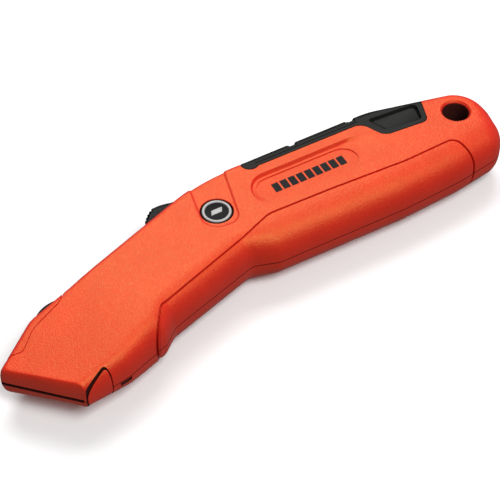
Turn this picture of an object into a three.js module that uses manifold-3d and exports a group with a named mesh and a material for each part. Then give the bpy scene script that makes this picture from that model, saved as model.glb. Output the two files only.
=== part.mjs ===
// Retractable utility knife: two cast half shells, a sliding blade carrier and a hinged door over spare blades.
// Millimetres. +X runs to the tail, +Y to the spine, +Z out of the left face; the knife lies on its right face.
// Pieces are modelled about the parting plane, z = 0. The whole knife is then raised by half its thickness and
// moved along X and Y, so that its outline is centred over the origin.
import * as THREE from 'three';
import { mergeVertices } from 'three/addons/utils/BufferGeometryUtils.js';
import Module from 'manifold-3d';

// ---- Driving dimensions ----
const HALF_THICKNESS = 9.5;
const LENGTH_CENTRE = 0.3;
const HEIGHT_CENTRE = -0.7;
const NOSE_TOP = 5.8;
const NOSE_BOTTOM = 4.8;
const NOSE_TAPER_LENGTH = 30;
const NOSE_TAPER_BLEND = 0.8;
const CORNER_TAPER = { x: -68, y: -22.6, depth: 2.2, reach: 20 };
const SECTION_POWER = 2.6;
const GAP = 0.3;
const WALL = 2.4;
const FAR = 60;

const NOSE_ANGLE = THREE.MathUtils.degToRad(20.2);
const NOSE_ORIGIN = new THREE.Vector3(-74.9, -16.6, 0);

const BLADE = { length: 61, height: 19, back: 33.4, thickness: 0.6, setback: 6, hole: 1.9 };
const BLADE_SLOT = { width: 1.2, height: 21 };
const STUD_RADIUS = 1.5;
const CARRIER = { halfWidth: 2.5, front: 33, back: 62, low: -4, high: 8.4, corner: 3 };
const CARRIER_NECK = { front: 58.5, back: 68.4, low: 5.6, high: 14, slotLow: 11.5, slotHigh: 24 };
const SLIDER = { low: 16.2, halfWidth: 4.4, neckFront: 61, neckBack: 67, neckLow: 11.8, neckHalfWidth: 1.6 };
const RELEASE = { front: 14.2, back: 22.6, low: 12.7, high: 18.2, halfWidth: 3.2, dome: 9, springRoom: 1.9 };
const LEDGE = { front: 6, back: 29.6, low: 10, high: 11.2 };
const LEAF_SPRING = { front: 61.1, length: 5.8, low: 10.1, thickness: 0.25, rise: 1.2, halfWidth: 1.3 };
const COIL_SPRING = { radius: 1.35, turns: 4, low: 11.55, high: 16.2, wire: 0.22 };
const TRAVEL = 28;

const DOOR_PIN = { x: 8.4, y: 21.3, radius: 1, halfLength: 8 };
const KNUCKLE_RADIUS = 2.6;
const DOOR_SKIN = 1.8;
const BAY = { front: 2.5, back: 66.8, wall: 3.3, mouthFront: 12, mouthBack: 65.8, mouthHalfWidth: 5.4 };
const SPARE = { x: 34, y: 5.4, pitch: 1 };

const BADGE = { x: -9, y: 9.5, recess: 4.75, disc: 4.45, ring: 4.2, ringBore: 3.4, floor: 7.7 };
const LANYARD = { x: 73, y: 9.6, radius: 4 };
const TAIL_SCREW = { x: 74, y: -0.4 };
const SCREW = { radius: 1.5, head: 3, headDepth: 2.2, bore: 1.8 };
const FRONT_DOWEL = { u: 28, v: 12.7 };
const REAR_DOWEL = { x: -1.4, y: -1.4 };
const DOWEL = { radius: 1.1, bore: 1.4, boss: 2.2, halfLength: 4 };

// Corners of the side view, from the belly corner of the nose, along the belly, round the tail and over the spine.
// edge is the outline at the parting plane, crown is where the rounded side meets the left face. On the right face
// the crown lies further in, by the share under of its distance from the edge.
const CORNERS = [
  { edge: [-66.4, -25.8], edgeRadius: 0.6, crown: [-68, -22.6], crownRadius: 0.6, under: 0.5 },
  { edge: [-53.2, -23.6], edgeRadius: 12, crown: [-55, -18.5], crownRadius: 10, under: 0.5 },
  { edge: [-40, -19.1], edgeRadius: 3, crown: [-43.4, -11.5], crownRadius: 5, under: 0.4 },
  { edge: [-35.4, -15.2], edgeRadius: 4, crown: [-38.2, -7.7], crownRadius: 6, under: 0.3 },
  { edge: [-6.6, -6.6], edgeRadius: 5, crown: [-9, 0.8], crownRadius: 8, under: 0.4 },
  { edge: [0.9, -9.1], edgeRadius: 8, crown: [0.5, 2.6], crownRadius: 12, under: 0.1 },
  { edge: [43.2, -9.5], edgeRadius: 60, crown: [43.2, 2.3], crownRadius: 50, under: 0 },
  { edge: [63.6, -8.3], edgeRadius: 60, crown: [63, 3.4], crownRadius: 50, under: 0 },
  { edge: [81.8, -5.4], edgeRadius: 8, crown: [75.6, 4.8], crownRadius: 2, under: 0 },
  { edge: [83.7, 5.5], edgeRadius: 15, crown: [77.9, 8], crownRadius: 3, under: 0 },
  { edge: [83.5, 17.2], edgeRadius: 11, crown: [78.4, 14.2], crownRadius: 5, under: 0 },
  { edge: [50, 24.3], edgeRadius: 30, crown: [49.6, 21.3], crownRadius: 27, under: 0 },
  { edge: [-8.4, 23.8], edgeRadius: 60, crown: [-7.8, 20.9], crownRadius: 57, under: 0 },
  { edge: [-56.5, 6.5], edgeRadius: 20, crown: [-55.6, 3.7], crownRadius: 20, under: 0 },
  { edge: [-70.2, 2.3], edgeRadius: 9, crown: [-69.4, 0], crownRadius: 8, under: 0 },
  { edge: [-83.9, -8.3], edgeRadius: 1.5, crown: [-81.3, -9.4], crownRadius: 1, under: 0 },
];

// The door's visible outline on the side of the knife; it is open above the spine.
const DOOR_CORNERS = [
  { at: [8.4, 30], radius: 0 },
  { at: [8.4, 19.2], radius: 0 },
  { at: [45.2, 19.2], radius: 4 },
  { at: [48.6, 11.5], radius: 4 },
  { at: [63.4, 10.4], radius: 2.5 },
  { at: [67, 21], radius: 0 },
  { at: [67, 30], radius: 0 },
];

// The belly corner of the nose is a piece of its own: its hole in the shells, and its own smaller outline.
const GUIDE_HOLE = [
  { at: [-70, -29], radius: 0 },
  { at: [-66.6, -25.2], radius: 0 },
  { at: [-59.6, -21.9], radius: 1 },
  { at: [-58.4, -24.6], radius: 2 },
  { at: [-59.6, -29], radius: 0 },
];
const GUIDE = [
  { at: [-70.2, -29.4], radius: 0 },
  { at: [-67.3, -26.35], radius: 0 },
  { at: [-59.5, -23.2], radius: 1 },
  { at: [-58.7, -24.9], radius: 2 },
  { at: [-59.9, -29.4], radius: 0 },
];

// The slider's cap in the nose's own axes: ribbed towards the nose, humped, and low towards the tail.
const SLIDER_CAP = [
  [58.4, SLIDER.low], [69.4, SLIDER.low], [69.2, 16.5], [67.6, 17.5], [66, 18.25], [64.6, 18.75], [63.2, 19],
  [62.8, 18.65], [62, 18.9], [61.7, 18.4], [60.9, 18.6], [60.6, 18.05], [59.8, 18.2], [59.5, 17.6], [58.7, 17.7],
  [58.4, 17.2],
];

// ---- Materials ----
const MATERIALS = {
  paint: new THREE.MeshStandardMaterial({ color: 0xd8391d, roughness: 0.45, metalness: 0.1 }),
  plastic: new THREE.MeshStandardMaterial({ color: 0x1c1c1e, roughness: 0.5, metalness: 0 }),
  carrierPlastic: new THREE.MeshStandardMaterial({ color: 0x3a3c40, roughness: 0.6, metalness: 0 }),
  bladeSteel: new THREE.MeshStandardMaterial({ color: 0xb9bcc0, roughness: 0.25, metalness: 1 }),
  zincSteel: new THREE.MeshStandardMaterial({ color: 0x9a9da1, roughness: 0.35, metalness: 1 }),
  badgeBlack: new THREE.MeshStandardMaterial({ color: 0x141416, roughness: 0.3, metalness: 0 }),
  badgeSilver: new THREE.MeshStandardMaterial({ color: 0xc9cbcf, roughness: 0.2, metalness: 1 }),
};

// ---- Solids ----
const wasm = await Module();
wasm.setup();

/** Turns a closed geometry into a solid that can be joined and cut. */
function solid(geometry) {
  const bare = geometry.index ? geometry.toNonIndexed() : geometry.clone();
  bare.deleteAttribute('normal');
  bare.deleteAttribute('uv');
  const merged = mergeVertices(bare, 1e-4);
  return new wasm.Manifold(new wasm.Mesh({
    numProp: 3,
    vertProperties: new Float32Array(merged.attributes.position.array),
    triVerts: new Uint32Array(merged.index.array),
  }));
}

/** Gives a cut solid back as a geometry. */
function geometryOf(shape) {
  const { vertProperties, triVerts } = shape.getMesh();
  const geometry = new THREE.BufferGeometry();
  geometry.setAttribute('position', new THREE.BufferAttribute(vertProperties, 3));
  geometry.setIndex(new THREE.BufferAttribute(triVerts, 1));
  return geometry;
}

/** A named piece made from a geometry or from a solid. */
function piece(name, shape, material) {
  const geometry = shape.isBufferGeometry ? shape : geometryOf(shape);
  geometry.computeVertexNormals();
  const mesh = new THREE.Mesh(geometry, material);
  mesh.name = name;
  return mesh;
}

/** Points along a closed outline whose corners are rounded; each corner gives steps[i] + 1 points. */
function roundedOutline(corners, steps) {
  const points = [];
  corners.forEach(({ at, radius }, i) => {
    const corner = new THREE.Vector2(...at);
    if (!radius) {
      points.push(corner);
      return;
    }
    const back = new THREE.Vector2(...corners.at(i - 1).at).sub(corner).normalize();
    const ahead = new THREE.Vector2(...corners[(i + 1) % corners.length].at).sub(corner).normalize();
    const half = back.angleTo(ahead) / 2;
    const middle = back.clone().add(ahead).normalize();
    const centre = corner.clone().addScaledVector(middle, radius / Math.sin(half));
    const start = corner.clone().addScaledVector(back, radius / Math.tan(half)).sub(centre);
    const sweep = (Math.PI - 2 * half) * Math.sign(start.cross(corner.clone().sub(centre)));
    for (let k = 0; k <= steps[i]; k += 1) {
      const turned = start.clone().rotateAround(new THREE.Vector2(), (sweep * k) / steps[i]);
      points.push(turned.add(centre));
    }
  });
  return points;
}

/** A straight prism between two heights over an outline. */
function prism(points, low, high) {
  const geometry = new THREE.ExtrudeGeometry(new THREE.Shape(points), { depth: high - low, bevelEnabled: false });
  return geometry.translate(0, 0, low);
}

/** A block between two opposite corners. */
function block([x0, y0, z0], [x1, y1, z1]) {
  return new THREE.BoxGeometry(x1 - x0, y1 - y0, z1 - z0).translate((x0 + x1) / 2, (y0 + y1) / 2, (z0 + z1) / 2);
}

/** A round bar along Z. */
function rod(radius, x, y, low, high, sides = 24) {
  return new THREE.CylinderGeometry(radius, radius, high - low, sides)
    .rotateX(Math.PI / 2)
    .translate(x, y, (low + high) / 2);
}

/** A plain ring along Z. */
function ring(outer, inner, x, y, low, high, sides = 32) {
  const profile = [[inner, low], [outer, low], [outer, high], [inner, high], [inner, low]];
  return new THREE.LatheGeometry(profile.map(([r, z]) => new THREE.Vector2(r, z)), sides)
    .rotateX(Math.PI / 2)
    .translate(x, y, 0);
}

const noseMatrix = new THREE.Matrix4().makeRotationZ(NOSE_ANGLE).setPosition(NOSE_ORIGIN);

/** Moves a geometry from the nose's own axes, u to the tail and v to the spine, to the knife's. */
function fromNose(geometry) {
  return geometry.applyMatrix4(noseMatrix);
}

// ---- The knife's body ----

/** A face's distance from the parting plane at a place in side view: it slopes down towards the nose, and the
 * right face also towards the nose's belly corner. */
function faceHeight(point, isLeft) {
  const atNose = isLeft ? NOSE_TOP : NOSE_BOTTOM;
  const along = (point.x - NOSE_ORIGIN.x) * Math.cos(NOSE_ANGLE) + (point.y - NOSE_ORIGIN.y) * Math.sin(NOSE_ANGLE);
  const slope = atNose + ((HALF_THICKNESS - atNose) * along) / NOSE_TAPER_LENGTH;
  const blend = Math.max(NOSE_TAPER_BLEND - Math.abs(slope - HALF_THICKNESS), 0) / NOSE_TAPER_BLEND;
  const height = Math.min(slope, HALF_THICKNESS) - (blend ** 2 * NOSE_TAPER_BLEND) / 4;
  const fromCorner = Math.hypot(point.x - CORNER_TAPER.x, point.y - CORNER_TAPER.y);
  return isLeft ? height : height - CORNER_TAPER.depth * Math.max(0, 1 - fromCorner / CORNER_TAPER.reach);
}

/** Where a corner's crown lies on the right face. */
function underCrown({ edge, crown, under }) {
  return crown.map((value, i) => value + (value - edge[i]) * under);
}

const cornerSteps = CORNERS.map(({ edgeRadius }) => (edgeRadius > 5 ? 6 : 4));
const edgeLine = roundedOutline(CORNERS.map((c) => ({ at: c.edge, radius: c.edgeRadius })), cornerSteps);
const crownLine = roundedOutline(CORNERS.map((c) => ({ at: c.crown, radius: c.crownRadius })), cornerSteps);
const underLine = roundedOutline(CORNERS.map((c) => ({ at: underCrown(c), radius: c.crownRadius })), cornerSteps);

/** Triangles across a closed outline, laced between its two sides in order of x. */
function lacedTriangles(outline) {
  const triangles = [];
  let [ahead, behind] = [0, outline.length - 1];
  while (behind - ahead > 1) {
    if (outline[ahead + 1].x < outline[behind - 1].x) {
      triangles.push([ahead, ahead + 1, behind]);
      ahead += 1;
    } else {
      triangles.push([ahead, behind - 1, behind]);
      behind -= 1;
    }
  }
  return triangles;
}

/** The knife's rounded form, moved inwards by wall. */
function form(wall) {
  const levels = [-90, -72, -54, -36, -18, 0, 18, 36, 54, 72, 90].map(THREE.MathUtils.degToRad);
  const count = edgeLine.length;
  const positions = [];
  levels.forEach((angle) => {
    const reach = Math.cos(angle) ** (2 / SECTION_POWER);
    const rise = Math.sign(angle) * Math.abs(Math.sin(angle)) ** (2 / SECTION_POWER);
    edgeLine.forEach((edge, i) => {
      const crown = (angle < 0 ? underLine : crownLine)[i];
      const width = edge.distanceTo(crown);
      const inner = crown.clone().lerp(edge, Math.max(width - wall, 0.05) / width);
      const place = crown.clone().lerp(inner, Math.abs(angle) > 1.57 ? 0 : reach);
      const height = Math.max(faceHeight(place, angle > 0) - wall, 0.3);
      positions.push(place.x, place.y, rise * height);
    });
  });
  const faces = [];
  for (let level = 0; level < levels.length - 1; level += 1) {
    for (let i = 0; i < count; i += 1) {
      const next = (i + 1) % count;
      const [a, b] = [level * count + i, level * count + next];
      faces.push(a, b, b + count, a, b + count, a + count);
    }
  }
  const top = (levels.length - 1) * count;
  lacedTriangles(crownLine).forEach(([a, b, c]) => faces.push(top + a, top + b, top + c));
  lacedTriangles(underLine).forEach(([a, b, c]) => faces.push(a, c, b));
  const geometry = new THREE.BufferGeometry();
  geometry.setAttribute('position', new THREE.Float32BufferAttribute(positions, 3));
  geometry.setIndex(faces);
  return solid(geometry);
}

const body = form(0);

/** The part of the knife in front of a line parallel to the slanted nose, set back by depth. */
function noseBand(depth) {
  const [x, y] = CORNERS.at(-1).edge;
  const line = x + y + depth * Math.SQRT2;
  const band = [[line + FAR, -FAR], [line - FAR, FAR], [-4 * FAR, FAR], [-4 * FAR, -FAR]];
  return prism(band.map((p) => new THREE.Vector2(...p)), -FAR, FAR);
}

/** The door's region in side view, grown by margin along its lower edge and its front knuckle. */
function doorZone(margin) {
  const corners = DOOR_CORNERS.map(({ at, radius }) => ({ at: [at[0], at[1] - margin], radius }));
  corners.slice(-2).forEach((corner) => {
    corner.at = [corner.at[0] + margin, corner.at[1]];
  });
  const panel = prism(roundedOutline(corners, corners.map(() => 5)), -FAR, FAR);
  return solid(panel).add(solid(rod(KNUCKLE_RADIUS + margin, DOOR_PIN.x, DOOR_PIN.y, -FAR, FAR)));
}

// ---- Storage door ----

/** The bore that the door's pin sits in, right through the lug and both knuckles. */
function pinHole() {
  const reach = DOOR_PIN.halfLength + GAP;
  return rod(DOOR_PIN.radius + GAP, DOOR_PIN.x, DOOR_PIN.y, -reach, reach);
}

function storageDoor() {
  const skin = body.intersect(doorZone(0)).subtract(form(DOOR_SKIN));
  const knuckles = solid(rod(KNUCKLE_RADIUS, DOOR_PIN.x, DOOR_PIN.y, -FAR, FAR)).intersect(body);
  const hingeRoom = solid(block([DOOR_PIN.x - 6, 15, -5.5], [DOOR_PIN.x + KNUCKLE_RADIUS, 30, 5.5]));
  return skin.add(knuckles).subtract(hingeRoom).subtract(solid(pinHole()));
}

/** A sprung tongue that snaps behind the rear edge of the storage bay's mouth. */
function doorLatch() {
  const tongue = [[62.4, 18.8], [62.4, 12.6], [65.3, 14], [64.2, 15.4], [63.6, 15.4], [63.6, 18.8]];
  return prism(tongue.map((p) => new THREE.Vector2(...p)), -3, 3);
}

// ---- Half shells ----

/** Everything that is taken out of both half shells. */
function shellRoom() {
  const bayLow = solid(block([BAY.front, -30, -FAR], [BAY.back, 40, FAR]));
  const frontLow = solid(block([-100, -30, -FAR], [0.4, 40, FAR]));
  const frontRoom = form(WALL).intersect(frontLow).subtract(solid(noseBand(2.8)));
  const bayRoom = form(BAY.wall).intersect(bayLow);
  const mouth = block(
    [BAY.mouthFront, 12, -BAY.mouthHalfWidth],
    [BAY.mouthBack, 40, BAY.mouthHalfWidth],
  );
  const doorRoom = doorZone(GAP).subtract(form(DOOR_SKIN + GAP));
  const knuckleRoom = rod(KNUCKLE_RADIUS + GAP, DOOR_PIN.x, DOOR_PIN.y, -FAR, FAR);
  return frontRoom.add(bayRoom).add(solid(mouth)).add(doorRoom).add(solid(knuckleRoom));
}

/** The round lug on the shells that carries the door's pin. */
function hingeLug() {
  const lug = solid(rod(KNUCKLE_RADIUS - 0.4, DOOR_PIN.x, DOOR_PIN.y, -5.2, 5.2));
  const foot = solid(block([1, 16.5, -5.2], [DOOR_PIN.x + 1.6, DOOR_PIN.y - 0.4, 5.2]));
  return lug.add(foot);
}

/** Bosses, ribs and seats inside the shells. */
function shellFittings() {
  const bosses = [
    rod(3.4, BADGE.x, BADGE.y, -FAR, FAR),
    rod(DOWEL.boss, REAR_DOWEL.x, REAR_DOWEL.y, -FAR, FAR),
    fromNose(rod(1.9, FRONT_DOWEL.u, FRONT_DOWEL.v, -FAR, FAR)),
    fromNose(block([LEDGE.front, LEDGE.low, -FAR], [LEDGE.back, LEDGE.high, FAR])),
  ];
  return bosses.map(solid).reduce((all, one) => all.add(one)).intersect(body);
}

/** Slots, screw holes and the lanyard hole. */
function shellCuts() {
  const cuts = [
    fromNose(block([-12, -BLADE_SLOT.height / 2, -BLADE_SLOT.width / 2],
      [12, BLADE_SLOT.height / 2, BLADE_SLOT.width / 2])),
    fromNose(block([CARRIER.front - TRAVEL - GAP, CARRIER.low - GAP, -CARRIER.halfWidth - GAP],
      [CARRIER.front, CARRIER.high + GAP, CARRIER.halfWidth + GAP])),
    fromNose(block([CARRIER_NECK.front - TRAVEL - 0.4, CARRIER_NECK.slotLow, -CARRIER.halfWidth - GAP],
      [CARRIER_NECK.back + 0.4, CARRIER_NECK.slotHigh, CARRIER.halfWidth + GAP])),
    fromNose(block([RELEASE.front - GAP, LEDGE.high, -RELEASE.halfWidth - GAP],
      [RELEASE.back + GAP, 26, RELEASE.halfWidth + GAP])),
    rod(LANYARD.radius, LANYARD.x, LANYARD.y, -FAR, FAR, 32),
    rod(BADGE.recess, BADGE.x, BADGE.y, BADGE.floor, FAR, 32),
    fromNose(rod(DOWEL.bore, FRONT_DOWEL.u, FRONT_DOWEL.v, -DOWEL.halfLength - GAP, DOWEL.halfLength + GAP, 16)),
    rod(DOWEL.bore, REAR_DOWEL.x, REAR_DOWEL.y, -DOWEL.halfLength - GAP, DOWEL.halfLength + GAP, 16),
    pinHole(),
  ];
  [BADGE, TAIL_SCREW].forEach(({ x, y }) => {
    cuts.push(rod(SCREW.bore, x, y, -FAR, 5.4, 20));
    cuts.push(rod(SCREW.head + GAP, x, y, -FAR, screwSeat(x, y), 24));
  });
  const guide = prism(roundedOutline(GUIDE_HOLE, GUIDE_HOLE.map(() => 3)), -FAR, FAR);
  return cuts.map(solid).reduce((all, one) => all.add(one)).add(solid(guide));
}

/** The height at which a screw's head sits in the right shell. */
function screwSeat(x, y) {
  return -faceHeight(new THREE.Vector2(x, y), false) + 0.5 + SCREW.headDepth + (y < 0 ? 2.2 : 0);
}

const shells = body
  .subtract(shellRoom())
  .add(shellFittings().subtract(doorZone(GAP)))
  .add(hingeLug())
  .subtract(shellCuts());
const leftHalf = solid(block([-120, -60, GAP / 2], [120, 60, FAR]));
const rightHalf = solid(block([-120, -60, -FAR], [120, 60, -GAP / 2]));

/** The small corner piece of the nose: smaller than the hole in the shells by the joint round it. */
function noseGuide() {
  return body.intersect(solid(prism(roundedOutline(GUIDE, GUIDE.map(() => 3)), -FAR, FAR)));
}

// ---- Blades ----

/** A trapezoid utility blade about its own centre, with the cutting edge to -v. */
function bladeGeometry() {
  const [half, back, low, high] = [BLADE.length / 2, BLADE.back / 2, -BLADE.height / 2, BLADE.height / 2];
  const notch = { offset: 5, halfWidth: 1.4, depth: 2.2 };
  const outline = [[-half, low], [half, low], [back, high]];
  [notch.offset, -notch.offset].forEach((centre) => {
    outline.push([centre + notch.halfWidth, high]);
    outline.push([centre + notch.halfWidth, high - notch.depth]);
    outline.push([centre - notch.halfWidth, high - notch.depth]);
    outline.push([centre - notch.halfWidth, high]);
  });
  outline.push([-back, high]);
  const shape = new THREE.Shape(outline.map((p) => new THREE.Vector2(...p)));
  shape.holes.push(new THREE.Path().absarc(0, 0, BLADE.hole, 0, 2 * Math.PI, true));
  const depth = BLADE.thickness;
  return new THREE.ExtrudeGeometry(shape, { depth, bevelEnabled: false, curveSegments: 10 })
    .translate(0, 0, -depth / 2);
}

const bladeCentre = BLADE.setback + BLADE.length / 2;

/** The carrier: a slit body that straddles the blade, and an upper fork that takes the slider's neck. */
function bladeCarrier() {
  const { halfWidth, front, back, low, high, corner } = CARRIER;
  const neck = CARRIER_NECK;
  const lower = solid(block([front, low, -halfWidth], [back, high, halfWidth]));
  const arm = solid(block([neck.front, neck.low, -halfWidth], [neck.back, neck.high, halfWidth]));
  const lean = (BLADE.length - BLADE.back) / 2 / BLADE.height;
  const bladeEndAt = (v) => bladeCentre + BLADE.length / 2 + 0.6 - lean * (v + BLADE.height / 2);
  const slitOutline = [[front - 1, low - 1], [bladeEndAt(low - 1), low - 1],
    [bladeEndAt(high + 1), high + 1], [front - 1, high + 1]];
  const slit = prism(slitOutline.map((p) => new THREE.Vector2(...p)), -0.6, 0.6);
  const pocketHalf = SLIDER.neckHalfWidth + GAP;
  const pocket = block(
    [SLIDER.neckFront - GAP, LEAF_SPRING.low - 0.1, -pocketHalf],
    [SLIDER.neckBack + GAP, FAR, pocketHalf],
  );
  const studHole = rod(STUD_RADIUS + GAP, bladeCentre, 0, -FAR, FAR, 16);
  const step = block([front, high - 2, -halfWidth - 1], [front + corner, high + 1, halfWidth + 1]);
  return [slit, pocket, studHole, step].map(solid).reduce((all, one) => all.subtract(one), lower.add(arm));
}

// ---- Buttons and their springs ----

/** The thumb slider: a humped cap, ribbed at its front, on a neck. */
function sliderButton() {
  const { low, halfWidth, neckFront, neckBack, neckLow, neckHalfWidth } = SLIDER;
  const cap = prism(SLIDER_CAP.map((p) => new THREE.Vector2(...p)), -halfWidth, halfWidth);
  const neck = block([neckFront, neckLow, -neckHalfWidth], [neckBack, low + 0.5, neckHalfWidth]);
  return solid(cap).add(solid(neck));
}

/** An arched leaf of spring steel under the slider's neck. */
function sliderSpring() {
  const { front, length, low, thickness, rise, halfWidth } = LEAF_SPRING;
  const arch = (offset) => [0, 0.25, 0.5, 0.75, 1].map((t) => new THREE.Vector2(
    front + length * t,
    low + offset + rise * Math.sin(Math.PI * t),
  ));
  return prism([...arch(0), ...arch(thickness).reverse()], -halfWidth, halfWidth);
}

/** The nose release button: a domed bar, hollow below for its spring. */
function releaseButton() {
  const { front, back, low, high, halfWidth, dome, springRoom } = RELEASE;
  const middle = (front + back) / 2;
  const outline = [new THREE.Vector2(front, low), new THREE.Vector2(back, low)];
  for (let i = 0; i <= 8; i += 1) {
    const u = THREE.MathUtils.lerp(back, front, i / 8);
    outline.push(new THREE.Vector2(u, high - dome + Math.sqrt(dome ** 2 - (u - middle) ** 2)));
  }
  const room = new THREE.CylinderGeometry(springRoom, springRoom, 4, 20).translate(middle, low + springRoom, 0);
  return solid(prism(outline, -halfWidth, halfWidth)).subtract(solid(room));
}

class Helix extends THREE.Curve {
  constructor(radius, turns, low, high, u) {
    super();
    Object.assign(this, { radius, turns, low, high, u });
  }

  getPoint(t, target = new THREE.Vector3()) {
    const angle = 2 * Math.PI * this.turns * t;
    const rise = THREE.MathUtils.lerp(this.low, this.high, t);
    return target.set(this.u + this.radius * Math.cos(angle), rise, this.radius * Math.sin(angle));
  }
}

/** The coil spring between the release button and the ledge below it. */
function releaseSpring() {
  const { radius, turns, low, high, wire } = COIL_SPRING;
  const sides = 6;
  const section = Array.from({ length: sides }, (_, i) => new THREE.Vector2(
    wire * Math.cos((2 * Math.PI * i) / sides),
    wire * Math.sin((2 * Math.PI * i) / sides),
  ));
  const path = new Helix(radius, turns, low, high, (RELEASE.front + RELEASE.back) / 2);
  return new THREE.ExtrudeGeometry(new THREE.Shape(section), { steps: 48, extrudePath: path });
}

// ---- Fasteners and small parts ----

/** A pan-head screw with its head at low, pointing to +Z. */
function screw(x, y, low, high) {
  const { radius, head, headDepth } = SCREW;
  const profile = [[0, low], [head - 0.4, low], [head, low + 0.5], [head, low + headDepth - GAP],
    [radius, low + headDepth - GAP], [radius, high - 0.6], [radius - 0.6, high], [0, high]];
  const turned = new THREE.LatheGeometry(profile.map(([r, z]) => new THREE.Vector2(r, -z)).reverse(), 20)
    .rotateX(-Math.PI / 2)
    .translate(x, y, 0);
  const recess = new THREE.BoxGeometry(3.6, 0.9, 2.4).translate(x, y, low);
  return solid(turned).subtract(solid(recess));
}

/** The bent clip that holds the stack of spare blades. */
function bladeClip() {
  const [inner, outer, floor, top] = [2.2, 2.7, -4.9, 4];
  const section = [[-outer, floor], [outer, floor], [outer, top], [inner, top],
    [inner, floor + 0.5], [-inner, floor + 0.5], [-inner, top], [-outer, top]];
  const shape = section.map(([z, y]) => new THREE.Vector2(-z, y));
  return prism(shape.reverse(), 0, 26).rotateY(Math.PI / 2).translate(21, 0, 0);
}

/** The badge's mark: a plain raised bar with slanted ends. */
function badgeEmblem() {
  const outline = [[-2, -0.9], [2, -0.9], [1.2, 0.9], [-1.2, 0.9]];
  return prism(outline.map(([x, y]) => new THREE.Vector2(x + BADGE.x, y + BADGE.y)), 8.95, 9.2);
}

// ---- The assembly ----
const knife = new THREE.Group();
knife.position.set(-LENGTH_CENTRE, -HEIGHT_CENTRE, HALF_THICKNESS);

knife.add(
  piece('left_shell', shells.intersect(leftHalf), MATERIALS.paint),
  piece('right_shell', shells.intersect(rightHalf), MATERIALS.paint),
  piece('nose_guide', noseGuide(), MATERIALS.paint),
  piece('storage_door', storageDoor(), MATERIALS.plastic),
  piece('door_latch', doorLatch(), MATERIALS.zincSteel),
  piece('door_pin', rod(DOOR_PIN.radius, DOOR_PIN.x, DOOR_PIN.y, -DOOR_PIN.halfLength, DOOR_PIN.halfLength, 16),
    MATERIALS.zincSteel),
  piece('main_screw', screw(BADGE.x, BADGE.y, screwSeat(BADGE.x, BADGE.y) - SCREW.headDepth, 5), MATERIALS.zincSteel),
  piece('tail_screw', screw(TAIL_SCREW.x, TAIL_SCREW.y, screwSeat(TAIL_SCREW.x, TAIL_SCREW.y) - SCREW.headDepth, 5),
    MATERIALS.zincSteel),
  piece('rear_dowel', rod(DOWEL.radius, REAR_DOWEL.x, REAR_DOWEL.y, -DOWEL.halfLength, DOWEL.halfLength, 16),
    MATERIALS.zincSteel),
  piece('badge_disc', rod(BADGE.disc, BADGE.x, BADGE.y, BADGE.floor + 0.2, 8.9, 32), MATERIALS.badgeBlack),
  piece('badge_ring', ring(BADGE.ring, BADGE.ringBore, BADGE.x, BADGE.y, 8.95, 9.3), MATERIALS.badgeSilver),
  piece('badge_emblem', badgeEmblem(), MATERIALS.badgeSilver),
  piece('blade_clip', bladeClip(), MATERIALS.zincSteel),
);
[-1, 0, 1].forEach((layer, i) => {
  const spare = piece(`spare_blade_${i + 1}`, bladeGeometry(), MATERIALS.bladeSteel);
  spare.position.set(SPARE.x, SPARE.y, layer * SPARE.pitch);
  knife.add(spare);
});

const nose = new THREE.Group();
nose.position.copy(NOSE_ORIGIN);
nose.rotation.z = NOSE_ANGLE;
knife.add(nose);

const blade = piece('blade', bladeGeometry(), MATERIALS.bladeSteel);
blade.position.x = bladeCentre;
nose.add(
  blade,
  piece('blade_carrier', bladeCarrier(), MATERIALS.carrierPlastic),
  piece('blade_stud', rod(STUD_RADIUS, bladeCentre, 0, -CARRIER.halfWidth + 0.2, CARRIER.halfWidth - 0.2, 16),
    MATERIALS.zincSteel),
  piece('slider_button', sliderButton(), MATERIALS.plastic),
  piece('slider_spring', sliderSpring(), MATERIALS.zincSteel),
  piece('release_button', releaseButton(), MATERIALS.plastic),
  piece('release_spring', releaseSpring(), MATERIALS.zincSteel),
  piece('front_dowel', rod(DOWEL.radius, FRONT_DOWEL.u, FRONT_DOWEL.v, -DOWEL.halfLength, DOWEL.halfLength, 16),
    MATERIALS.zincSteel),
);

export default knife;
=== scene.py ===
import math

import bpy
import bmesh
import numpy as np
from mathutils import Matrix, Vector
from mathutils.bvhtree import BVHTree
from mathutils.geometry import delaunay_2d_cdt


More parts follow.
